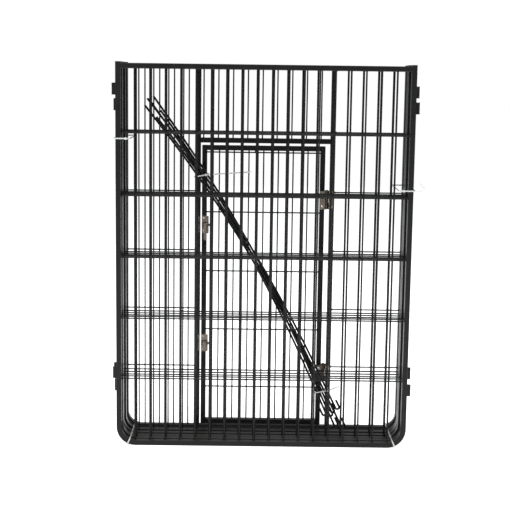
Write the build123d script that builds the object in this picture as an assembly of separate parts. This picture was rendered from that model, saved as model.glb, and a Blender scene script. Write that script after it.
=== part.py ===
"""Folding wire pen for dogs, packed flat: six framed wire panels stood in a stack and held by cable ties.

Millimetres. +X runs along the panels, +Y from the front panel to the rear one, +Z up.
The origin is on the floor, in the middle of the stack. The rear panel holds a hinged door with two bolts.
"""
import math
import os

from build123d import *

os.makedirs("parts", exist_ok=True)

# Panels
panel_width = 610.0
panel_height = 800.0
tube_face = 10.5        # tube size seen from the front
tube_depth = 15.0       # tube size through the stack
tube_wall = 1.0
tube_edge = 1.2         # rounding of the tube's four long edges
corner_radius = 40.0    # outside radius of the bent bottom corners
top_rail_drop = 3.0     # from the top of the posts to the top rail
cap_thickness = 1.5
cap_plug_length = 12.0
cap_clearance = 0.1

# Wires
wire_diameter = 3.0
weld_sink = 0.08        # how far crossing wires are pressed into each other by the weld
upright_count = 18
upright_margin = 38.1   # from a panel's side to its first upright wire
cross_count = 5
cross_margin = 143.5    # from a panel's top or bottom to its nearest cross wire

# The stack: where each panel's middle plane is, and how far the panel has slid sideways
panel_planes = (0.0, 20.0, 36.5, 58.5, 82.0, 121.0)
panel_slides = (0.0, 1.5, -2.0, -1.5, 1.5, 2.5)
door_panel = 5

# Sleeves on the posts that take the connecting rods
rod_diameter = 4.5
lug_bore_clearance = 0.5    # on the radius
lug_wall = 1.2
lug_length = 24.0
lug_top_drop = 43.0         # from a panel's top to its high upper sleeve
lug_bottom_rise = 144.0     # from the floor to the underside of the high lower sleeve
lug_stagger = 32.0          # a low sleeve hangs this much under a high one

# Door opening and door
opening_width = 277.0
lintel_drop = 157.5
door_panel_wire_shift = 8.5     # the door panel's upright wires stand this much to the right of the others'
latch_gap = 3.0
hinge_gap = 10.5
door_top_gap = 5.4
door_bottom_gap = 3.0
door_upright_count = 7
door_cross_count = 5
door_cross_drop = 4.2       # from the door's top rail down to its first cross wire
door_cross_rise = 73.0      # from the door's bottom rail up to its last cross wire
plug_diameter = 8.0
plug_height = 2.5

# Hinges
hinge_inset = 115.0         # from the door's top or bottom to a hinge's middle
hinge_height = 40.0
hinge_plate = 1.2
knuckle_radius = 3.7
pin_radius = 1.8
pin_head_radius = 2.8
pin_head_height = 1.0
pin_clearance = 0.05
knuckle_gap = 0.3
hinge_rivet_rise = 13.0

# Slide bolts
upper_bolt_drop = 170.6     # from the door's top
lower_bolt_rise = 182.5     # from the door's bottom
bolt_radius = 3.0
bolt_clearance = 0.05
bolt_length = 20.0
bolt_inset = 0.5            # how far the drawn bolt stays behind the door's edge
bolt_stem_radius = 1.6
bolt_stem_place = 7.0       # from the bolt's tip to its stem
bolt_slot_clearance = 0.3
bolt_handle_width = 6.0
bolt_handle_thickness = 2.0
bolt_handle_gap = 0.5       # between the handle and the keeper it passes in front of
bolt_handle_top = 4.5       # above the bolt's middle
bolt_handles = {"upper": 33.0, "lower": 15.0}
bolt_plate_width = 15.0
bolt_plate_height = 38.0
bolt_plate_thickness = 1.2
bolt_lift = 0.3             # between the plate and the bolt
guide_wall = 1.3
keeper_width = 6.5
keeper_clearance = 0.6
keeper_wall = 1.3
bolt_rivet_rise = 14.0

# Rivets
rivet_radius = 1.6
rivet_head_radius = 2.8
rivet_head_height = 1.3
rivet_tail = 0.8

# Connecting rods, tied up in a slanted bundle between panels 4 and 5
bundle_top = (-244.0, 727.0)
bundle_knee = (-26.0, 433.0)    # where the straight lines of the two ends would meet
bundle_foot = (152.0, 56.0)
rod_bow_reach = 300.0           # the bow runs this far either side of the knee
rod_layer_gap = 0.3
rod_mid_spacing = 5.2
rods = (
    # name, layer (0 front, 1 rear), place in the pack, fan at the top and foot, hook side, shift down
    ("connecting_rod_1", 0, -1, -15.7, 0.5, -1, 8.0),
    ("connecting_rod_2", 0, 0, -10.2, 6.3, 1, 42.0),
    ("connecting_rod_3", 0, 1, -3.0, 11.8, 1, 0.0),
    ("connecting_rod_4", 1, -1, -1.5, -11.8, -1, 2.0),
    ("connecting_rod_5", 1, 0, 4.2, -6.3, 1, 36.0),
    ("connecting_rod_6", 1, 1, 9.7, -0.5, 1, 4.0),
)
hook_gap = 3.6              # inside width of the bent-back hook
hook_leg = 20.0

# Cable ties
tie_width = 2.6
tie_thickness = 1.1
tie_slack = 0.4
tie_corner = 1.2
tie_head = (5.2, 4.4, 4.2)  # along the band, outwards, across the band
side_tie_reach = 18.5       # how far a side tie reaches inwards past the posts
left_tie_height = 645.0
right_tie_height = 545.0
right_tail_length = 38.0
corner_tie_angle = 25.0     # up the bent corner from the straight rail
upper_rod_tie = (-131.7, 566.0)
lower_rod_tie = (131.4, 104.0)
rod_tie_tilt = 12.0
upper_rod_tie_width = 29.5
lower_rod_tie_width = 32.4
upper_tail_length = 96.0
lower_tail_length = 28.0

# Values that follow
half_width = panel_width / 2
wire_radius = wire_diameter / 2
rod_radius = rod_diameter / 2
tube_height = panel_height - cap_thickness
rail_top = panel_height - top_rail_drop
rail_underside = rail_top - tube_face
cross_offset = -(wire_radius - weld_sink / 2)
upright_offset = wire_radius - weld_sink / 2
stack_front = panel_planes[0] - tube_depth / 2
stack_rear = panel_planes[-1] + tube_depth / 2
mid_depth = (stack_front + stack_rear) / 2
lug_bore = rod_radius + lug_bore_clearance
lug_radius = lug_bore + lug_wall

post_centre = opening_width / 2 + tube_face / 2
lintel_top = panel_height - lintel_drop
door_left = -opening_width / 2 + latch_gap
door_right = opening_width / 2 - hinge_gap
door_bottom = tube_face + door_bottom_gap
door_top = lintel_top - tube_face - door_top_gap
door_slide = panel_slides[door_panel]
door_plane = panel_planes[door_panel] - mid_depth
door_front = door_plane - tube_depth / 2
door_rear = door_plane + tube_depth / 2

hinge_x = (door_right + opening_width / 2) / 2
hinge_heights = {"upper": door_top - hinge_inset, "lower": door_bottom + hinge_inset}
stile_x = door_left + tube_face / 2
hinge_stile_x = door_right - tube_face / 2
bolt_heights = {"upper": door_top - upper_bolt_drop, "lower": door_bottom + lower_bolt_rise}
bolt_y = door_front - bolt_plate_thickness - bolt_radius - bolt_clearance - bolt_lift


def save(name, shapes):
    """Write one node; a list becomes a group of separate solids."""
    solids = [solid for shape in shapes for solid in shape.solids()]
    node = solids[0] if len(solids) == 1 else Compound(children=solids)
    node.label = name
    export_step(node, f"parts/{name}.step")


def block(x, y, z):
    """A box from its low and high limits on each axis."""
    size = (x[1] - x[0], y[1] - y[0], z[1] - z[0])
    middle = ((x[0] + x[1]) / 2, (y[0] + y[1]) / 2, (z[0] + z[1]) / 2)
    return Pos(*middle) * Box(*size)


def upright(x, y, low, high, radius=wire_radius):
    return Pos(x, y, (low + high) / 2) * Cylinder(radius, high - low)


def crosswise(y, z, low, high, radius=wire_radius):
    return Pos((low + high) / 2, y, z) * Rot(0, 90, 0) * Cylinder(radius, high - low)


def forward(x, z, front, rear, radius):
    return Pos(x, (front + rear) / 2, z) * Rot(90, 0, 0) * Cylinder(radius, rear - front)


# ---- Panel frames ----

def u_face(offset, height):
    """A panel's outline brought in by offset, with its two bottom corners rounded."""
    outline = Pos(0, (offset + height) / 2) * Rectangle(2 * (half_width - offset), height - offset)
    return fillet(outline.vertices().sort_by(Axis.Y)[:2], corner_radius - offset)


def u_tube(offset, thickness, depth):
    """The bent tube's two posts and bottom rail, cut square at the top."""
    flat = u_face(offset, tube_height) - u_face(offset + thickness, tube_height + tube_face)
    return extrude(Plane.XZ * flat, depth / 2, both=True)


def softened_u(bent):
    """The same with its long edges rounded; the short edges across its open tops stay sharp."""
    outline = [edge for face in bent.faces().filter_by(Axis.Y) for edge in face.edges()]
    return fillet([edge for edge in outline if edge.center().Z < tube_height - tube_wall], tube_edge)


def tube_upright(x, y, low, high):
    """A straight length of the same tube, standing."""
    outer = block((x - tube_face / 2, x + tube_face / 2), (y - tube_depth / 2, y + tube_depth / 2), (low, high))
    outer = fillet(outer.edges().filter_by(Axis.Z), tube_edge)
    half_face = tube_face / 2 - tube_wall
    half_depth = tube_depth / 2 - tube_wall
    return outer - block((x - half_face, x + half_face), (y - half_depth, y + half_depth), (low, high))


def tube_crosswise(low, high, y, bottom):
    """A straight length of the same tube, lying."""
    top = bottom + tube_face
    outer = block((low, high), (y - tube_depth / 2, y + tube_depth / 2), (bottom, top))
    outer = fillet(outer.edges().filter_by(Axis.X), tube_edge)
    half_depth = tube_depth / 2 - tube_wall
    bore = block((low, high), (y - half_depth, y + half_depth), (bottom + tube_wall, top - tube_wall))
    return outer - bore


def panel_frame():
    bent = softened_u(u_tube(0, tube_face, tube_depth))
    bent -= u_tube(tube_wall, tube_face - 2 * tube_wall, tube_depth - 2 * tube_wall)
    rail = tube_crosswise(-half_width + tube_face, half_width - tube_face, 0, rail_underside)
    return [bent, rail]


# ---- Wires ----

def spread(count, low, high):
    return [low + (high - low) * step / (count - 1) for step in range(count)]


upright_places = spread(upright_count, -half_width + upright_margin, half_width - upright_margin)
cross_places = spread(cross_count, panel_height - cross_margin, cross_margin)


def wire_foot(x):
    """Height of the bottom rail's upper side under a wire, on the straight or on the bend."""
    past = max(0.0, abs(x) - (half_width - corner_radius))
    inner_radius = corner_radius - tube_face
    return corner_radius - math.sqrt(inner_radius ** 2 - past ** 2)


def panel_uprights():
    return [upright(x, upright_offset, wire_foot(x), rail_underside) for x in upright_places]


def panel_cross_wires():
    reach = half_width - tube_face
    return [crosswise(cross_offset, z, -reach, reach) for z in cross_places]


# ---- Rod sleeves ----

def rod_lug(side, low):
    """A sleeve with a flat root welded to the post's outer side."""
    x = side * (half_width + lug_radius)
    root = block(
        sorted((side * half_width, x)), (-lug_radius, lug_radius), (low, low + lug_length)
    )
    sleeve = root + upright(x, 0, low, low + lug_length, lug_radius)
    return sleeve - upright(x, 0, low, low + lug_length, lug_bore)


def lug_heights(raised):
    """Undersides of one side's upper and lower sleeve."""
    drop = 0.0 if raised else lug_stagger
    return (panel_height - lug_top_drop - lug_length - drop, lug_bottom_rise - drop)


def panel_lugs(turned):
    """The left side is the high one, unless the panel is turned round."""
    lugs = []
    for side in (-1, 1):
        raised = (side < 0) != turned
        lugs += [rod_lug(side, low) for low in lug_heights(raised)]
    return lugs


def post_caps():
    half_face = tube_face / 2 - tube_wall - cap_clearance
    half_depth = tube_depth / 2 - tube_wall - cap_clearance
    caps = []
    for side in (-1, 1):
        x = side * (half_width - tube_face / 2)
        plate = block(
            (x - tube_face / 2, x + tube_face / 2), (-tube_depth / 2, tube_depth / 2), (tube_height, panel_height)
        )
        plate = chamfer(plate.faces().sort_by(Axis.Z)[-1].edges(), cap_thickness / 3)
        plug = block(
            (x - half_face, x + half_face), (-half_depth, half_depth), (tube_height - cap_plug_length, tube_height)
        )
        caps.append(plate + plug)
    return caps


all_caps = []
for number, (plane, slide) in enumerate(zip(panel_planes, panel_slides)):
    place = Pos(slide, plane - mid_depth, 0)
    all_caps += [place * cap for cap in post_caps()]
    stem = "door_panel" if number == door_panel else f"panel_{number + 1}"
    save(f"{stem}_frame", [place * piece for piece in panel_frame()])
    save(f"{stem}_rod_lugs", [place * lug for lug in panel_lugs(turned=number % 2 == 1)])
    if number != door_panel:
        save(f"{stem}_upright_wires", [place * wire for wire in panel_uprights()])
        save(f"{stem}_cross_wires", [place * wire for wire in panel_cross_wires()])
save("post_caps", all_caps)


# ---- Rivets and the holes for them ----

def rivet(x, z, plate_front, plate):
    """Domed head on the plate, shank through the plate and the tube's front wall."""
    shank = forward(x, z, plate_front, plate_front + plate + tube_wall + rivet_tail, rivet_radius)
    dome_radius = (rivet_head_radius ** 2 + rivet_head_height ** 2) / (2 * rivet_head_height)
    ball = Pos(x, plate_front + dome_radius - rivet_head_height, z) * Sphere(dome_radius)
    reach = 2 * rivet_head_radius
    head = ball & block((x - reach, x + reach), (plate_front - reach, plate_front), (z - reach, z + reach))
    return head + shank


def rivet_hole(x, z):
    """Clears the plate and the front wall of the tube behind it."""
    return forward(x, z, door_front - 2 * hinge_plate, door_front + 2 * tube_wall, rivet_radius)


hinge_rivet_heights = [mid + step for mid in hinge_heights.values() for step in (-hinge_rivet_rise, hinge_rivet_rise)]
bolt_rivet_heights = [mid + step for mid in bolt_heights.values() for step in (-bolt_rivet_rise, bolt_rivet_rise)]
hinge_door_rivets = [(hinge_stile_x, z) for z in hinge_rivet_heights]
hinge_post_rivets = [(post_centre, z) for z in hinge_rivet_heights]
plate_rivets = [(stile_x, z) for z in bolt_rivet_heights]
keeper_rivets = [(-post_centre, z) for z in bolt_rivet_heights]
door_place = Pos(door_slide, 0, 0)


def save_on_door_panel(name, shapes):
    save(name, [door_place * shape for shape in shapes])


# ---- Door panel: opening posts, lintel and its own wires ----

opening_posts = [tube_upright(side * post_centre, door_plane, tube_face, rail_underside) for side in (-1, 1)]
for x, z in hinge_post_rivets:
    opening_posts[1] -= rivet_hole(x, z)
for x, z in keeper_rivets:
    opening_posts[0] -= rivet_hole(x, z)
lintel = tube_crosswise(-opening_width / 2, opening_width / 2, door_plane, lintel_top - tube_face)
save_on_door_panel("door_panel_opening_frame", opening_posts + [lintel])

post_outer = post_centre + tube_face / 2
straight_reach = half_width - corner_radius
shifted_places = [x + door_panel_wire_shift for x in upright_places]
short_uprights = [
    upright(x, door_plane + upright_offset, lintel_top, rail_underside)
    for x in shifted_places if abs(x) + wire_radius < opening_width / 2
]
long_uprights = [
    upright(x, door_plane + upright_offset, tube_face, rail_underside)
    for x in shifted_places if post_outer + wire_radius < abs(x) < straight_reach
]
save_on_door_panel("door_panel_upright_wires", short_uprights + long_uprights)

panel_inner = half_width - tube_face
side_cross_wires = [
    crosswise(door_plane + cross_offset, z, low, high)
    for z in cross_places for low, high in ((-panel_inner, -post_outer), (post_outer, panel_inner))
]
over_lintel = [
    crosswise(door_plane + cross_offset, z, -opening_width / 2, opening_width / 2)
    for z in cross_places if z - wire_radius > lintel_top
]
save_on_door_panel("door_panel_cross_wires", side_cross_wires + over_lintel)


# ---- Door ----

stiles = [tube_upright(x, door_plane, door_bottom, door_top) for x in (stile_x, hinge_stile_x)]
for x, z in plate_rivets:
    stiles[0] -= rivet_hole(x, z)
for x, z in hinge_door_rivets:
    stiles[1] -= rivet_hole(x, z)
save_on_door_panel("door_stiles", stiles)

door_inner_left = door_left + tube_face
door_inner_right = door_right - tube_face
door_middle = (door_left + door_right) / 2
save_on_door_panel("door_rails", [
    tube_crosswise(door_inner_left, door_inner_right, door_plane, bottom)
    for bottom in (door_bottom, door_top - tube_face)
])

door_upright_places = spread(door_upright_count + 2, stile_x, hinge_stile_x)[1:-1]
save_on_door_panel("door_upright_wires", [
    upright(x, door_plane + upright_offset, door_bottom + tube_face, door_top - tube_face)
    for x in door_upright_places
])
save_on_door_panel("door_cross_wires", [
    crosswise(door_plane + cross_offset, z, door_inner_left, door_inner_right)
    for z in spread(
        door_cross_count, door_top - tube_face - door_cross_drop, door_bottom + tube_face + door_cross_rise
    )
])
plug_top = door_top - tube_face
plug_y = door_front + plug_diameter / 2
plug_x = (door_upright_places[3] + door_upright_places[2]) / 2
door_plug = upright(plug_x, plug_y, plug_top - plug_height, plug_top, plug_diameter / 2)
door_plug = fillet(door_plug.edges().sort_by(Axis.Z)[0], plug_height / 2)
save_on_door_panel("door_rail_plug", [door_plug])


# ---- Hinges: plates on the front faces, turned in along the gap to knuckles at the rear ----

knuckle_height = (hinge_height - 2 * knuckle_gap) / 3


def hinge_leaf(side, low, knuckles, bore):
    """side -1 is the door's leaf and 1 the post's; knuckles are low and high limits above low."""
    tube_side = hinge_x + side * hinge_gap / 2
    inner_side = tube_side - side * hinge_plate
    far_edge = tube_side + side * tube_face
    high = low + hinge_height
    plate_front = door_front - hinge_plate
    leaf = block(sorted((inner_side, far_edge)), (plate_front, door_front), (low, high))
    leaf += block(sorted((inner_side, tube_side)), (plate_front, door_rear), (low, high))
    for start, end in knuckles:
        leaf += block(
            sorted((hinge_x, tube_side)), (door_rear - hinge_plate, door_rear), (low + start, low + end)
        )
        leaf += upright(hinge_x, door_rear, low + start, low + end, knuckle_radius)
    leaf -= upright(hinge_x, door_rear, low, high, bore)
    clear_low = 0.0
    for start, end in knuckles + [(hinge_height, hinge_height)]:
        if start > clear_low:
            leaf -= upright(hinge_x, door_rear, low + clear_low, low + start, knuckle_radius + knuckle_gap)
        clear_low = end
    return leaf


post_knuckles = [(0.0, knuckle_height), (hinge_height - knuckle_height, hinge_height)]
door_knuckles = [(knuckle_height + knuckle_gap, hinge_height - knuckle_height - knuckle_gap)]
for name, middle in hinge_heights.items():
    low = middle - hinge_height / 2
    high = middle + hinge_height / 2
    post_leaf = hinge_leaf(1, low, post_knuckles, pin_radius)
    door_leaf = hinge_leaf(-1, low, door_knuckles, pin_radius + pin_clearance)
    for x, z in hinge_post_rivets:
        post_leaf -= rivet_hole(x, z)
    for x, z in hinge_door_rivets:
        door_leaf -= rivet_hole(x, z)
    pin = upright(hinge_x, door_rear, low - pin_head_height, high + pin_head_height, pin_radius)
    for head_low in (low - pin_head_height, high):
        pin += upright(hinge_x, door_rear, head_low, head_low + pin_head_height, pin_head_radius)
    save_on_door_panel(f"{name}_hinge_post_leaf", [post_leaf])
    save_on_door_panel(f"{name}_hinge_door_leaf", [door_leaf])
    save_on_door_panel(f"{name}_hinge_pin", [pin])

hinge_plate_front = door_front - hinge_plate
save_on_door_panel("hinge_post_rivets", [rivet(x, z, hinge_plate_front, hinge_plate) for x, z in hinge_post_rivets])
save_on_door_panel("hinge_door_rivets", [rivet(x, z, hinge_plate_front, hinge_plate) for x, z in hinge_door_rivets])


# ---- Slide bolts ----

bolt_plate_front = door_front - bolt_plate_thickness
slot_half = bolt_radius + keeper_clearance
keeper_front = bolt_y - slot_half - keeper_wall


def foot_plate(left, width, z):
    plate = block(
        (left, left + width), (bolt_plate_front, door_front), (z - bolt_plate_height / 2, z + bolt_plate_height / 2)
    )
    return fillet(plate.edges().filter_by(Axis.Y), 2.0)


def guide_plate(z):
    """A plate with a round guide across its middle, open along its front for the bolt's stem."""
    reach = (door_left, door_left + bolt_plate_width)
    bore = bolt_radius + bolt_clearance
    outside = bore + guide_wall
    stem_half = bolt_stem_radius + bolt_slot_clearance
    arch = crosswise(bolt_y, z, *reach, outside) & block(reach, (bolt_y - outside, bolt_y), (z - outside, z + outside))
    guide = arch + block(reach, (bolt_y, bolt_plate_front), (z - outside, z + outside))
    guide -= crosswise(bolt_y, z, *reach, bore)
    guide -= block(reach, (bolt_y - 2 * outside, bolt_y), (z - stem_half, z + stem_half))
    return foot_plate(door_left, bolt_plate_width, z) + guide


def keeper(z):
    """A plate on the post with a square strap that the bolt's tip slides into."""
    left = -post_centre - keeper_width / 2
    reach = (left, left + keeper_width)
    outside = slot_half + keeper_wall
    strap = block(reach, (keeper_front, bolt_plate_front), (z - outside, z + outside))
    strap = fillet(strap.edges().filter_by(Axis.X).group_by(Axis.Y)[0], keeper_wall)
    strap -= block(reach, (bolt_y - slot_half, bolt_plate_front), (z - slot_half, z + slot_half))
    return foot_plate(left, keeper_width, z) + strap


def slide_bolt(z, handle):
    """A short round bar with a stem through the guide's slot and a flat handle hanging in front."""
    start = door_left + bolt_inset
    bar = crosswise(bolt_y, z, start, start + bolt_length, bolt_radius)
    bar = chamfer(bar.edges().filter_by(GeomType.CIRCLE), bolt_radius / 4)
    stem_x = start + bolt_stem_place
    handle_rear = keeper_front - bolt_handle_gap
    handle_front = handle_rear - bolt_handle_thickness
    half_width = bolt_handle_width / 2
    grip = block((stem_x - half_width, stem_x + half_width), (handle_front, handle_rear),
                 (z - handle, z + bolt_handle_top))
    grip = fillet(grip.edges().filter_by(Axis.Y), 0.95 * half_width)
    return bar + grip + forward(stem_x, z, handle_front, bolt_y, bolt_stem_radius)


for name, z in bolt_heights.items():
    bolt_plate = guide_plate(z)
    bolt_keeper = keeper(z)
    for x, height in plate_rivets:
        bolt_plate -= rivet_hole(x, height)
    for x, height in keeper_rivets:
        bolt_keeper -= rivet_hole(x, height)
    save_on_door_panel(f"{name}_bolt_plate", [bolt_plate])
    save_on_door_panel(f"{name}_bolt", [slide_bolt(z, bolt_handles[name])])
    save_on_door_panel(f"{name}_bolt_keeper", [bolt_keeper])

save_on_door_panel("bolt_plate_rivets", [
    rivet(x, z, bolt_plate_front, bolt_plate_thickness) for x, z in plate_rivets
])
save_on_door_panel("keeper_rivets", [
    rivet(x, z, bolt_plate_front, bolt_plate_thickness) for x, z in keeper_rivets
])


# ---- Connecting rods ----

def along(start, end):
    """Unit vector from start to end in the X-Z plane."""
    length = math.dist(start, end)
    return ((end[0] - start[0]) / length, (end[1] - start[1]) / length)


def offset(point, direction, amount):
    return (point[0] + direction[0] * amount, point[1] + direction[1] * amount)


upper_run = along(bundle_top, bundle_knee)
lower_run = along(bundle_knee, bundle_foot)
upper_side = (-upper_run[1], upper_run[0])
lower_side = (-lower_run[1], lower_run[0])
rods_front = panel_planes[3] + 2 * wire_radius - mid_depth
rods_rear = panel_planes[4] - 2 * wire_radius - mid_depth
rods_plane = (rods_front + rods_rear) / 2


def connecting_rod(layer, place, top_fan, foot_fan, hook_side, shift):
    """A long bar, slightly bowed, whose lower end is bent back into a hook."""
    y = rods_plane + (layer - 0.5) * (rod_diameter + rod_layer_gap)
    top = offset(offset(bundle_top, upper_side, top_fan), upper_run, shift)
    knee = offset(bundle_knee, upper_side, place * rod_mid_spacing)
    foot = offset(offset(bundle_foot, lower_side, foot_fan), lower_run, shift - hook_leg)
    run = along(knee, foot)
    side = (-run[1] * hook_side, run[0] * hook_side)
    end = offset(foot, run, hook_leg)
    turn = offset(end, side, hook_gap + rod_diameter)
    tip = offset(turn, run, -hook_leg)
    bend = hook_gap / 2 + rod_radius - 0.05
    turn_angle = math.acos(min(1.0, sum(a * b for a, b in zip(along(top, knee), run))))
    bow = rod_bow_reach / math.tan(turn_angle / 2)
    points = [(x, y, z) for x, z in (top, knee, end, turn, tip)]
    path = FilletPolyline(*points, radius=(bow, bend, bend))
    start = Vector(*points[0])
    section = Plane(origin=start, z_dir=Vector(*points[1]) - start) * Circle(rod_radius)
    return sweep(section, path=path)


for name, layer, place, top_fan, foot_fan, hook_side, shift in rods:
    save(name, [connecting_rod(layer, place, top_fan, foot_fan, hook_side, shift)])


# ---- Cable ties ----

def tie_band(plane, width, height):
    """A closed band round a width by height bundle, lying in plane."""
    outer = RectangleRounded(width + 2 * tie_thickness, height + 2 * tie_thickness, tie_corner + tie_thickness)
    return extrude(plane * (outer - RectangleRounded(width, height, tie_corner)), tie_width / 2, both=True)


def tie_head_at(plane, x, side, half_height):
    """The locking head, standing outwards on the band's low (-1) or high (1) side of the plane's Y."""
    y = side * (half_height + tie_head[1] / 2)
    return plane * Pos(x, y, 0) * Box(*tie_head)


def tie_tail(origin, length, rise):
    """The free end, a flat strip that leaves the head rising by an angle."""
    angle = math.radians(rise)
    along_tail = (math.cos(angle), 0, math.sin(angle))
    plane = Plane(origin=origin, x_dir=along_tail, z_dir=(-math.sin(angle), 0, math.cos(angle)))
    return plane * Pos(length / 2, 0, 0) * Box(length, tie_thickness, tie_width)


def side_tie(side, height):
    """Round all the posts on one side, with room towards the first upright wire."""
    slide_out = max(side * slide for slide in panel_slides)
    outer = half_width + slide_out + tie_slack
    inner = half_width - tube_face - side_tie_reach
    plane = Plane(origin=(side * (outer + inner) / 2, 0, height), z_dir=(0, 0, 1))
    depth = stack_rear - stack_front + 2 * tie_slack
    band = tie_band(plane, outer - inner, depth)
    head = tie_head_at(plane, -side * (outer - inner) / 4, -1, depth / 2)
    return band + head, head.center()


left_tie, left_head = side_tie(-1, left_tie_height)
save("left_tie", [left_tie])
right_tie, right_head = side_tie(1, right_tie_height)
save("right_tie", [right_tie + tie_tail(right_head, right_tail_length, 0)])


def corner_tie(side):
    """Round the six bottom rails where they start to bend up, clear of the floor."""
    angle = math.radians(corner_tie_angle)
    spare = max(abs(slide) for slide in panel_slides) * math.sin(angle) + tie_slack
    middle = corner_radius - tube_face / 2
    outwards = Vector(side * math.sin(angle), 0, -math.cos(angle))
    centre = Vector(side * (half_width - corner_radius), 0, corner_radius) + outwards * middle
    plane = Plane(origin=centre, x_dir=(0, 1, 0), z_dir=outwards.cross(Vector(0, 1, 0)))
    depth = stack_rear - stack_front + 2 * tie_slack
    half_height = tube_face / 2 + spare
    upper_side = 1 if plane.y_dir.Z > 0 else -1
    return tie_band(plane, depth, 2 * half_height) + tie_head_at(plane, -depth / 4, upper_side, half_height)


save("bottom_left_tie", [corner_tie(-1)])
save("bottom_right_tie", [corner_tie(1)])


def rod_tie(place, width, tail_length, tail_rise):
    """Round the rods and the nearest upright wire of panel 4, with its free end."""
    front = rods_front - 2 * wire_radius - tie_slack
    rear = rods_plane + rod_diameter + rod_layer_gap / 2 + tie_slack
    tilt = math.radians(rod_tie_tilt)
    plane = Plane(
        origin=(place[0], (front + rear) / 2, place[1]),
        x_dir=(math.cos(tilt), 0, math.sin(tilt)), z_dir=(-math.sin(tilt), 0, math.cos(tilt)),
    )
    head = tie_head_at(plane, width / 2 - tie_head[0], -1, (rear - front) / 2)
    return tie_band(plane, width, rear - front) + head + tie_tail(head.center(), tail_length, tail_rise)


save("upper_rod_tie", [rod_tie(upper_rod_tie, upper_rod_tie_width, upper_tail_length, 4.5)])
save("lower_rod_tie", [rod_tie(lower_rod_tie, lower_rod_tie_width, lower_tail_length, 22.0)])
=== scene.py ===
import cmath
import math

import bmesh
import bpy
from mathutils import Matrix, Vector


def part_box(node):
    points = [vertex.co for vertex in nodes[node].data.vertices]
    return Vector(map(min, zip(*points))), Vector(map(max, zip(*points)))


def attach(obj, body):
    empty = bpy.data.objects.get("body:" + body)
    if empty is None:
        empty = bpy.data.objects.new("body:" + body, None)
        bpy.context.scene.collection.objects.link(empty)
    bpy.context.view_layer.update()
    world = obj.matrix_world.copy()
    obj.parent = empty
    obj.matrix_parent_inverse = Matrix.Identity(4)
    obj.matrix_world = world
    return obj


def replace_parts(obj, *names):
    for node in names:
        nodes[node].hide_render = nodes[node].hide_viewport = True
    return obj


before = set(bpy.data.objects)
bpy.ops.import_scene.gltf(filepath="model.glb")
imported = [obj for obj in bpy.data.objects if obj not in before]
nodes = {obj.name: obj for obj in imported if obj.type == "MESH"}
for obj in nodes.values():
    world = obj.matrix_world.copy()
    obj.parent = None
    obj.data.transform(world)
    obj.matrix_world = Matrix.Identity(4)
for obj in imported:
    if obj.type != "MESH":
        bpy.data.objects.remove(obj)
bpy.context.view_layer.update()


# ---- Panel frames ----
# Each panel is a bent square-section steel tube with a straight tube welded across its top. It is
# powder coated after welding, so the coat is one skin with a fine orange peel and a little dust.

class Reading:
    """One value that changes over a surface. Arithmetic on it adds Math nodes to its coat."""

    def __init__(self, coat, socket):
        self.coat = coat
        self.socket = socket

    def __add__(self, other):
        return self.coat.node("Math", {"operation": "ADD"}, self, other)

    def __sub__(self, other):
        return self.coat.node("Math", {"operation": "SUBTRACT"}, self, other)

    def __mul__(self, other):
        return self.coat.node("Math", {"operation": "MULTIPLY"}, self, other)

    def __rsub__(self, other):
        return self.coat.node("Math", {"operation": "SUBTRACT"}, other, self)

    __radd__ = __add__
    __rmul__ = __mul__

    def clipped(self):
        return self.coat.node("Clamp", {}, self)


class Coat:
    """A surface finish, with its constant sockets set when it is made."""

    def __init__(self, name, **constants):
        self.material = bpy.data.materials.new(name)
        self.material.use_nodes = True
        self.tree = self.material.node_tree
        self.skin = self.tree.nodes["Principled BSDF"]
        for label, value in constants.items():
            self.skin.inputs[label.replace("_", " ")].default_value = value

    def feed(self, socket, value):
        """Links a reading to a socket, or sets the socket to a plain value."""
        if isinstance(value, Reading):
            self.tree.links.new(value.socket, socket)
        else:
            socket.default_value = value

    def node(self, kind, settings, *values, out=0, **named):
        """A node of one kind, with its settings, its sockets in order or by name, and the output read."""
        made = self.tree.nodes.new("ShaderNode" + kind)
        for label, value in settings.items():
            setattr(made, label, value)
        for order, value in enumerate(values):
            self.feed(made.inputs[order], value)
        for label, value in named.items():
            self.feed(made.inputs[label.replace("_", " ")], value)
        return Reading(self, made.outputs[out])

    def blend(self, factor, low, high):
        """From the low colour to the high one as factor goes from 0 to 1."""
        mixed = self.node("Mix", {"data_type": "RGBA"}, factor, out=2)
        colour_inputs = mixed.socket.node.inputs[6:8]
        for socket, colour in zip(colour_inputs, (low, high)):
            self.feed(socket, colour)
        return mixed

    def paint(self, **readings):
        """Leads a reading into each named socket of the finish."""
        for label, reading in readings.items():
            self.tree.links.new(reading.socket, self.skin.inputs[label.replace("_", " ")])

    def on(self, *names):
        for name in names:
            mesh = nodes[name].data
            mesh.materials.clear()
            mesh.materials.append(self.material)


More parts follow.
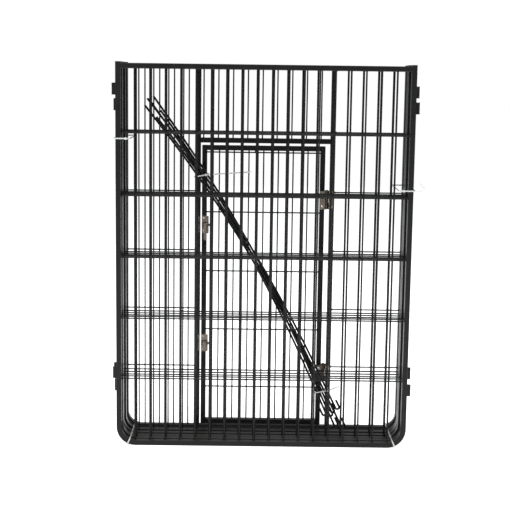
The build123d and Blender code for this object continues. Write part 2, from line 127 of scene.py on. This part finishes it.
def powder_coat(name, dark, light, smoothest, roughest):
    """Black semi-gloss powder: patchy gloss, orange peel, and pale dust where a surface faces up."""
    dust_colour = (0.42, 0.40, 0.37, 1.0)
    dust_cover = 0.16
    dust_dulling = 0.2
    coat = Coat(name, IOR=1.45, Specular_IOR_Level=0.2)
    at = coat.node("TexCoord", {}, out="Object")
    patches = coat.node("TexNoise", {}, Vector=at, Scale=38.0, Detail=4.0, Roughness=0.6)
    specks = coat.node("TexNoise", {}, Vector=at, Scale=420.0, Detail=2.0)
    facing = coat.node("SeparateXYZ", {}, coat.node("NewGeometry", {}, out="Normal"), out="Z")
    dust = (facing * 1.2 - 0.35).clipped() * (specks * patches * 1.5).clipped()
    colour = coat.blend(patches, dark, light)
    peel = coat.node("TexNoise", {}, Vector=at, Scale=900.0, Detail=1.0)
    coat.paint(
        Base_Color=coat.blend(dust * dust_cover, colour, dust_colour),
        Roughness=patches * (roughest - smoothest) + smoothest + dust * dust_dulling,
        Normal=coat.node("Bump", {}, Height=peel, Strength=0.07, Distance=0.0001),
    )
    return coat


tube_coat = powder_coat(
    "tube powder coat", dark=(0.0035, 0.0034, 0.0032, 1.0), light=(0.0085, 0.0082, 0.0078, 1.0),
    smoothest=0.26, roughest=0.42,
)
frames = [name for name in nodes if name.endswith("_frame")]
tube_coat.on(*frames, "door_stiles", "door_rails")
tube_coat.on(*[name for name in nodes if name.endswith("rod_lugs")])


# ---- Wires ----
# Drawn steel wire, 3 mm thick, spot welded where it crosses and coated with the frame. The powder
# runs thinner on it, so it shines a little more than the tubes.

wire_coat = powder_coat(
    "wire powder coat", dark=(0.0035, 0.0034, 0.0034, 1.0), light=(0.0090, 0.0086, 0.0084, 1.0),
    smoothest=0.20, roughest=0.36,
)
wire_coat.on(*[name for name in nodes if name.endswith("_wires")])


# ---- Welds ----
# A spot weld squeezes a small collar of steel out round each crossing and each wire's end. The tubes'
# joints have a short ground bead on every side. All of it is under the same coat.

plain_panels = 5
panel_uprights = 18
door_panel_uprights = 17
door_uprights = 7
cross_wires = 5
wire_radius = 0.0015
tube_face = 0.0105
tube_depth = 0.015
bend_radius = 0.04
rail_drop = 0.0015      # from the tops of the posts' tubes to the top rail
lintel_gap = 0.0054     # between the door and the lintel
crossing = (0.0024, 0.0013, 0.0024)
wire_end = (0.0023, 0.0023, 0.0008)
side_end = (0.0008, 0.0023, 0.0023)
seam_radius = 0.0009    # a tube joint's bead, half across the seam
face_swell = 0.0004     # how far it stands out at the front and back
under_swell = 0.0006    # and below
seam_stop = 0.001       # from its ends to the tube's corners


def even_steps(count, low, high):
    return [low + (high - low) * step / (count - 1) for step in range(count)]


def bead(mesh, place, radii):
    """One rounded lump of weld, as wide each way as its three radii say."""
    size = Matrix.Diagonal((*radii, 1.0))
    bmesh.ops.create_uvsphere(
        mesh, u_segments=8, v_segments=5, radius=1.0, matrix=Matrix.Translation(place) @ size
    )


def joint_beads(mesh, ends, plane, top):
    """The seams where a lying tube meets the standing ones at its two ends."""
    for x in ends:
        for y in (plane - tube_depth / 2, plane + tube_depth / 2):
            bead(mesh, (x, y, top - tube_face / 2), (seam_radius, face_swell, tube_face / 2 - seam_stop))
        bead(mesh, (x, plane, top - tube_face), (seam_radius, tube_depth / 2 - seam_stop, under_swell))


def finished_piece(name, mesh, finish, body):
    """Hands over a mesh as a piece that rides on a body."""
    piece = bpy.data.objects.new(name, bpy.data.meshes.new(name))
    bmesh.ops.recalc_face_normals(mesh, faces=mesh.faces)
    for face in mesh.faces:
        face.smooth = True
    mesh.to_mesh(piece.data)
    mesh.free()
    piece.data.materials.append(finish.material)
    bpy.context.scene.collection.objects.link(piece)
    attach(piece, body)
    return piece


def weld_grid(mesh, uprights, crosses, upright_count, cross_count, here):
    """Collars at the crossings and the wires' ends of one panel, where here(x, z) says there is wire."""
    low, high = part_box(uprights)
    side_low, side_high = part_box(crosses)
    plane = (low.y + side_high.y) / 2
    columns = even_steps(upright_count, low.x + wire_radius, high.x - wire_radius)
    rows = even_steps(cross_count, side_low.z + wire_radius, side_high.z - wire_radius)
    for x in columns:
        for z in rows:
            if here(x, z):
                bead(mesh, (x, plane, z), crossing)
        for z in (low.z, high.z):
            straight = side_low.x + bend_radius < x < side_high.x - bend_radius
            if here(x, z) and (straight or z == high.z):
                bead(mesh, (x, high.y - wire_radius, z), wire_end)
    for z in rows:
        for x in (side_low.x, side_high.x):
            bead(mesh, (x, side_low.y + wire_radius, z), side_end)


def top_rail_beads(mesh, panel):
    low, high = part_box(panel)
    rail_ends = (low.x + tube_face, high.x - tube_face)
    joint_beads(mesh, rail_ends, (low.y + high.y) / 2, high.z - rail_drop)


def everywhere(x, z):
    return True


for number in range(1, plain_panels + 1):
    welds = bmesh.new()
    stem = f"panel_{number}"
    uprights, crosses = f"{stem}_upright_wires", f"{stem}_cross_wires"
    weld_grid(welds, uprights, crosses, panel_uprights, cross_wires, everywhere)
    top_rail_beads(welds, f"{stem}_frame")
    finished_piece(f"{stem}_welds", welds, wire_coat, "stack")

opening_low, opening_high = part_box("door_panel_opening_frame")
door_low, door_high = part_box("door_rails")


def door_panel_has(x, z):
    """Its wires stop at the opening's posts and start again above the lintel."""
    beside = x < opening_low.x or x > opening_high.x
    over = opening_low.x + tube_face < x < opening_high.x - tube_face and z > door_high.z
    return beside or over


welds = bmesh.new()
uprights, crosses = "door_panel_upright_wires", "door_panel_cross_wires"
weld_grid(welds, uprights, crosses, door_panel_uprights, cross_wires, door_panel_has)
top_rail_beads(welds, "door_panel_frame")
door_plane = (opening_low.y + opening_high.y) / 2
lintel_ends = (opening_low.x + tube_face, opening_high.x - tube_face)
joint_beads(welds, lintel_ends, door_plane, door_high.z + lintel_gap + tube_face)
finished_piece("door_panel_welds", welds, wire_coat, "stack")

welds = bmesh.new()
weld_grid(welds, "door_upright_wires", "door_cross_wires", door_uprights, cross_wires, everywhere)
joint_beads(welds, (door_low.x, door_high.x), door_plane, door_high.z)
finished_piece("door_welds", welds, wire_coat, "door")


# ---- Connecting rods ----
# Six coated steel bars, 4.5 mm thick, with one end bent back into a hook. They hold two panels
# together by dropping through the sleeves on their posts.

rod_coat = powder_coat(
    "rod powder coat", dark=(0.0030, 0.0030, 0.0030, 1.0), light=(0.0075, 0.0074, 0.0072, 1.0),
    smoothest=0.26, roughest=0.42,
)
rod_coat.on(*[name for name in nodes if name.startswith("connecting_rod")])


# ---- Caps and plug ----
# Moulded black plastic pushed into the open tops of the posts, and the small plug under the door's
# top rail. It is duller than the coat and has a fine moulded grain.

plastic = Coat("moulded black plastic", IOR=1.45, Specular_IOR_Level=0.3)
plastic_at = plastic.node("TexCoord", {}, out="Object")
plastic_grain = plastic.node("TexVoronoi", {"feature": "SMOOTH_F1"}, Vector=plastic_at, Scale=1600.0)
plastic_haze = plastic.node("TexNoise", {}, Vector=plastic_at, Scale=150.0, Detail=3.0)
plastic.paint(
    Base_Color=plastic.blend(plastic_haze, (0.006, 0.006, 0.006, 1.0), (0.013, 0.013, 0.013, 1.0)),
    Roughness=plastic_haze * 0.18 + 0.44,
    Normal=plastic.node("Bump", {}, Height=plastic_grain, Strength=0.25, Distance=0.0001),
)
plastic.on("post_caps", "door_rail_plug")


# ---- Hinges and slide bolts ----
# Pressed mild steel with a dull, warm nickel plate, and round bar of the same finish for the pins
# and bolts. The plate is cloudy and lightly scratched along its length.

nickel = Coat("dull nickel plate", Metallic=1.0, Anisotropic=0.25)
nickel_at = nickel.node("TexCoord", {}, out="Object")
nickel_cloud = nickel.node("TexNoise", {}, Vector=nickel_at, Scale=170.0, Detail=5.0, Roughness=0.62)
nickel_drawn = nickel.node("Mapping", {}, Vector=nickel_at, Scale=(2600.0, 2600.0, 90.0))
nickel_lines = nickel.node("TexNoise", {}, Vector=nickel_drawn, Scale=1.0, Detail=3.0)
nickel.paint(
    Base_Color=nickel.blend(nickel_cloud, (0.115, 0.092, 0.074, 1.0), (0.30, 0.262, 0.225, 1.0)),
    Roughness=nickel_cloud * 0.22 + nickel_lines * 0.12 + 0.20,
    Normal=nickel.node("Bump", {}, Height=nickel_lines, Strength=0.18, Distance=0.00008),
)
nickel.on(*[
    name for name in nodes
    if name.endswith(("_leaf", "_pin", "_bolt", "_bolt_plate", "_bolt_keeper"))
])

rivet_steel = Coat("bright rivet steel", Metallic=1.0)
rivet_at = rivet_steel.node("TexCoord", {}, out="Object")
rivet_cloud = rivet_steel.node("TexNoise", {}, Vector=rivet_at, Scale=700.0, Detail=3.0)
rivet_steel.paint(
    Base_Color=rivet_steel.blend(rivet_cloud, (0.55, 0.53, 0.49, 1.0), (0.80, 0.78, 0.74, 1.0)),
    Roughness=rivet_cloud * 0.2 + 0.2,
    Normal=rivet_steel.node("Bump", {}, Height=rivet_cloud, Strength=0.12, Distance=0.0001),
)
rivet_steel.on(*[name for name in nodes if name.endswith("_rivets")])


# ---- Cable ties ----
# Natural nylon, milky and slightly see-through. Each tie is moulded flat, with a rack of teeth on one
# side and a locking head at one end, then wrapped with the teeth inwards and pulled through its head.

nylon = Coat("natural nylon", IOR=1.53, Roughness=0.34, Subsurface_Weight=0.35, Transmission_Weight=0.18)
nylon.skin.inputs["Subsurface Radius"].default_value = (0.003, 0.003, 0.0028)
nylon_at = nylon.node("TexCoord", {}, out="Object")
nylon_haze = nylon.node("TexNoise", {}, Vector=nylon_at, Scale=240.0, Detail=3.0)
nylon.paint(
    Base_Color=nylon.blend(nylon_haze, (0.50, 0.51, 0.48, 1.0), (0.66, 0.67, 0.64, 1.0)),
    Normal=nylon.node("Bump", {}, Height=nylon_haze, Strength=0.1, Distance=0.0002),
)

strap_width = 0.0026
strap_thickness = 0.0011
tooth_pitch = 0.0016
tooth_depth = 0.0004
route_step = tooth_pitch / 2
tip_length = 0.008
tip_width_share = 0.35
twist_length = 0.012    # in which a twisted strap turns flat
strap_corner = 0.0018
free_loop_radius = 0.0032
lap_rise = 1.1          # strap thicknesses, from the strap's start to the turn that laps it
head_size = (0.0052, 0.0044, 0.0042)    # along the strap, outwards, across the strap
head_rounding = 0.0005
mouth_rim = 0.0006
mouth_taper = 0.0001
mouth_depth = 0.0012


def walked(corners, radius, step):
    """Places and headings every step along straight runs joined by arcs, as complex numbers."""
    found = []
    start = corners[0]
    gone = 0.0
    for corner, after in zip(corners[1:], [*corners[2:], None]):
        heading = (corner - start) / abs(corner - start)
        turn = cmath.phase((after - corner) / heading) if after is not None else 0.0
        cut = radius * math.tan(abs(turn) / 2)
        run = abs(corner - start) - cut
        while gone < run:
            found.append((start + heading * gone, heading))
            gone += step
        gone -= run
        begin = corner - heading * cut
        centre = begin + heading * math.copysign(radius, turn) * 1j
        arc = radius * abs(turn)
        while gone < arc:
            swing = cmath.exp(1j * turn * gone / arc)
            found.append((centre + (begin - centre) * swing, heading * swing))
            gone += step
        gone -= arc
        start = centre + (begin - centre) * cmath.exp(1j * turn)
    return found


def added(mesh, part):
    """Adds a part that was shaped by itself to a mesh."""
    carrier = bpy.data.meshes.new("carrier")
    part.to_mesh(carrier)
    part.free()
    mesh.from_mesh(carrier)
    bpy.data.meshes.remove(carrier)


def strap(mesh, plane, route, teeth_side, pointed, twist):
    """A strap bent along a route in a plane, with its teeth on one side and perhaps a pointed end."""
    flat_strap = bmesh.new()
    bmesh.ops.create_cube(flat_strap, size=1.0)
    lengthways = [
        edge for edge in flat_strap.edges
        if abs(edge.verts[0].co.x - edge.verts[1].co.x) > 0.5
    ]
    bmesh.ops.subdivide_edges(flat_strap, edges=lengthways, cuts=len(route) - 2, use_grid_fill=True)
    for corner in flat_strap.verts:
        step = round((corner.co.x + 0.5) * (len(route) - 1))
        place, heading = route[step]
        to_tip = (len(route) - 1 - step) * route_step
        taper = tip_width_share + (1 - tip_width_share) * to_tip / tip_length
        narrow = min(1.0, taper) if pointed else 1.0
        sideways = corner.co.y * strap_width * narrow
        outwards = corner.co.z * strap_thickness
        if corner.co.z * teeth_side > 0 and step % 2:
            outwards -= teeth_side * tooth_depth
        lean = cmath.exp(1j * twist * max(0.0, 1 - step * route_step / twist_length))
        section = complex(sideways, outwards) * lean
        flat = place + heading * 1j * section.imag
        corner.co = plane @ Vector((flat.real, flat.imag, section.real))
    added(mesh, flat_strap)


def locking_head(mesh, plane, place):
    """A block with rounded edges, and a mouth at each end that the strap runs through."""
    block = bmesh.new()
    bmesh.ops.create_cube(block, size=1.0)
    bmesh.ops.scale(block, vec=head_size, verts=block.verts)
    bmesh.ops.bevel(
        block, geom=block.edges, offset=head_rounding, offset_type="OFFSET", segments=2, profile=0.5,
        affect="EDGES", material=-1, clamp_overlap=True,
    )
    mouths = [face for face in block.faces if abs(face.normal.x) > 0.99]
    bmesh.ops.inset_individual(block, faces=mouths, thickness=mouth_rim, depth=0.0)
    bmesh.ops.inset_individual(block, faces=mouths, thickness=mouth_taper, depth=-mouth_depth)
    shift = Matrix.Translation((place.real, place.imag, 0.0))
    bmesh.ops.transform(block, matrix=plane @ shift, verts=block.verts)
    added(mesh, block)


def plane_at(origin, along, outwards):
    """A plane's own frame, with its first two axes given."""
    along = Vector(along).normalized()
    up = along.cross(Vector(outwards)).normalized()
    frame_of = Matrix((along, up.cross(along), up)).transposed().to_4x4()
    return Matrix.Translation(origin) @ frame_of


def band_and_head(mesh, plane, width, height, head_x, side, onwards):
    """The loop round a bundle, closed in its head, which stands on the low (-1) or high (1) side."""
    far = onwards * (width + strap_thickness) / 2
    out = side * (height + strap_thickness) / 2
    start = complex(head_x, out)
    finish = start + 1j * side * strap_thickness * lap_rise
    corners = [
        start, complex(far, out), complex(far, -out), complex(-far, -out), complex(-far, out), finish,
    ]
    teeth_side = 1 if onwards * side < 0 else -1
    route = walked(corners, strap_corner, route_step)
    strap(mesh, plane, route, teeth_side, pointed=False, twist=0.0)
    middle = complex(head_x, side * (height / 2 + head_size[1] / 2))
    locking_head(mesh, plane, middle)
    return plane @ Vector((middle.real, middle.imag, 0.0))


def cable_tie(name, mesh):
    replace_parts(finished_piece(name + "_strap", mesh, nylon, "stack"), name)


caps_low, caps_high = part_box("post_caps")
slack = 0.0004
stack_depth = caps_high.y - caps_low.y + 2 * slack
free_loop = (0.0, 0.037 + 0.0005j, 0.043 + 0.006j, 0.029 + 0.0195j, 0.0225 + 0.0195j)
for name, side, outer in (("left_tie", -1, -caps_low.x + slack), ("right_tie", 1, caps_high.x + slack)):
    low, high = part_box(name)
    inner = strap_thickness + (low.x if side > 0 else -high.x)
    width = outer - inner
    level = plane_at((side * (outer + inner) / 2, 0.0, (low.z + high.z) / 2), (1, 0, 0), (0, 1, 0))
    tie = bmesh.new()
    head = band_and_head(tie, level, width, stack_depth, -side * width / 4, -1, side)
    if side > 0:
        upright = plane_at(head, (1, 0, 0), (0, 0, 1))
        route = walked(free_loop, free_loop_radius, route_step)
        strap(tie, upright, route, 1, pointed=True, twist=math.pi / 2)
    cable_tie(name, tie)

panel_half_width = 0.305
corner_angle = math.radians(25.0)
widest_slide = 0.0025   # the furthest that a panel stands off the stack's middle, sideways
for name, side in (("bottom_left_tie", -1), ("bottom_right_tie", 1)):
    outwards = Vector((side * math.sin(corner_angle), 0.0, -math.cos(corner_angle)))
    bend = Vector((side * (panel_half_width - bend_radius), 0.0, bend_radius))
    slanted = plane_at(bend + outwards * (bend_radius - tube_face / 2), (0, 1, 0), outwards)
    spare = widest_slide * math.sin(corner_angle) + slack
    tie = bmesh.new()
    band_and_head(tie, slanted, stack_depth, tube_face + 2 * spare, -stack_depth / 4, -1, 1)
    cable_tie(name, tie)

rod_ties = (
    # name, x and z of its middle, width, tail length, tail's rise in degrees
    ("upper_rod_tie", -0.1317, 0.566, 0.0295, 0.096, 4.5),
    ("lower_rod_tie", 0.1314, 0.104, 0.0324, 0.028, 22.0),
)
tilt = math.radians(12.0)
for name, x, z, width, tail, rise in rod_ties:
    low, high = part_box(name)
    front = low.y + head_size[1]
    rear = high.y - strap_thickness
    middle = (x, (front + rear) / 2, z)
    tilted = plane_at(middle, (math.cos(tilt), 0, math.sin(tilt)), (0, 1, 0))
    tie = bmesh.new()
    head = band_and_head(tie, tilted, width, rear - front, width / 2 - head_size[0], -1, 1)
    climb = math.radians(rise)
    climbing = plane_at(head, (math.cos(climb), 0, math.sin(climb)), (0, 1, 0))
    route = walked((0.0, tail), strap_corner, route_step)
    strap(tie, climbing, route, 1, pointed=True, twist=0.0)
    cable_tie(name, tie)


# ---- Room, light and camera ----
# A pale studio floor that runs off into a white room, a large soft light on each side and one
# overhead, and a long lens a little above the middle of the stack.

floor_mesh = bmesh.new()
bmesh.ops.create_grid(floor_mesh, x_segments=1, y_segments=1, size=6.0)
floor = bpy.data.objects.new("studio_floor", bpy.data.meshes.new("studio_floor"))
floor_mesh.to_mesh(floor.data)
floor_mesh.free()
bpy.context.scene.collection.objects.link(floor)
floor_paint = Coat("pale studio floor", Roughness=0.85, Specular_IOR_Level=0.1, Emission_Strength=0.66)
floor_paint.skin.inputs["Emission Color"].default_value = (1.0, 1.0, 1.0, 1.0)
floor_at = floor_paint.node("TexCoord", {}, out="Object")
floor_haze = floor_paint.node("TexNoise", {}, Vector=floor_at, Scale=3.0, Detail=2.0)
floor_paint.paint(
    Base_Color=floor_paint.blend(floor_haze, (0.90, 0.90, 0.895, 1.0), (0.93, 0.93, 0.925, 1.0)),
)
floor.data.materials.append(floor_paint.material)

world = bpy.data.worlds.new("white room")
bpy.context.scene.world = world
world.use_nodes = True
air = world.node_tree
seen = air.nodes["Background"]
seen.inputs["Color"].default_value = (1.0, 1.0, 1.0, 1.0)
lighting = air.nodes.new("ShaderNodeBackground")
lighting.inputs["Color"].default_value = (0.92, 0.96, 1.0, 1.0)
lighting.inputs["Strength"].default_value = 0.42
ray = air.nodes.new("ShaderNodeLightPath")
pick = air.nodes.new("ShaderNodeMixShader")
air.links.new(ray.outputs["Is Camera Ray"], pick.inputs["Fac"])
air.links.new(lighting.outputs["Background"], pick.inputs[1])
air.links.new(seen.outputs["Background"], pick.inputs[2])
air.links.new(pick.outputs["Shader"], air.nodes["World Output"].inputs["Surface"])


def soft_light(name, place, aim, size, power):
    """A square area light at place, turned to face aim."""
    lamp = bpy.data.lights.new(name, "AREA")
    lamp.size = size
    lamp.energy = power
    holder = bpy.data.objects.new(name, lamp)
    turn = (Vector(aim) - Vector(place)).to_track_quat("-Z", "Y").to_matrix().to_4x4()
    holder.matrix_world = Matrix.Translation(place) @ turn
    bpy.context.scene.collection.objects.link(holder)


mid_stack = (0.0, 0.0, 0.4)
floor_middle = (0.0, 0.0, 0.0)
soft_light("left_softbox", place=(-2.0, -2.2, 2.3), aim=mid_stack, size=1.4, power=90.0)
soft_light("right_softbox", place=(2.2, -1.4, 1.8), aim=mid_stack, size=1.0, power=40.0)
soft_light("floor_wash", place=(0.0, 0.6, 3.2), aim=floor_middle, size=2.6, power=60.0)

camera_place = (-0.03137, -2.5105, 0.77398)
pitch = 0.148318
roll = 0.0131413
yaw = 0.0054636
ahead = Vector((math.sin(yaw) * math.cos(pitch), math.cos(yaw) * math.cos(pitch), -math.sin(pitch)))
unrolled = Vector((math.cos(yaw), -math.sin(yaw), 0.0))
lift = unrolled.cross(ahead)
across = math.cos(roll) * unrolled + math.sin(roll) * lift
upwards = -math.sin(roll) * unrolled + math.cos(roll) * lift
camera = bpy.data.objects.new("camera", bpy.data.cameras.new("camera"))
camera.data.lens = 84.565
camera.data.sensor_width = 36.0
camera.data.clip_end = 50.0
turn = Matrix((across, upwards, -ahead)).transposed().to_4x4()
camera.matrix_world = Matrix.Translation(camera_place) @ turn
bpy.context.scene.collection.objects.link(camera)
bpy.context.scene.camera = camera
bpy.context.scene.view_settings.view_transform = "Standard"
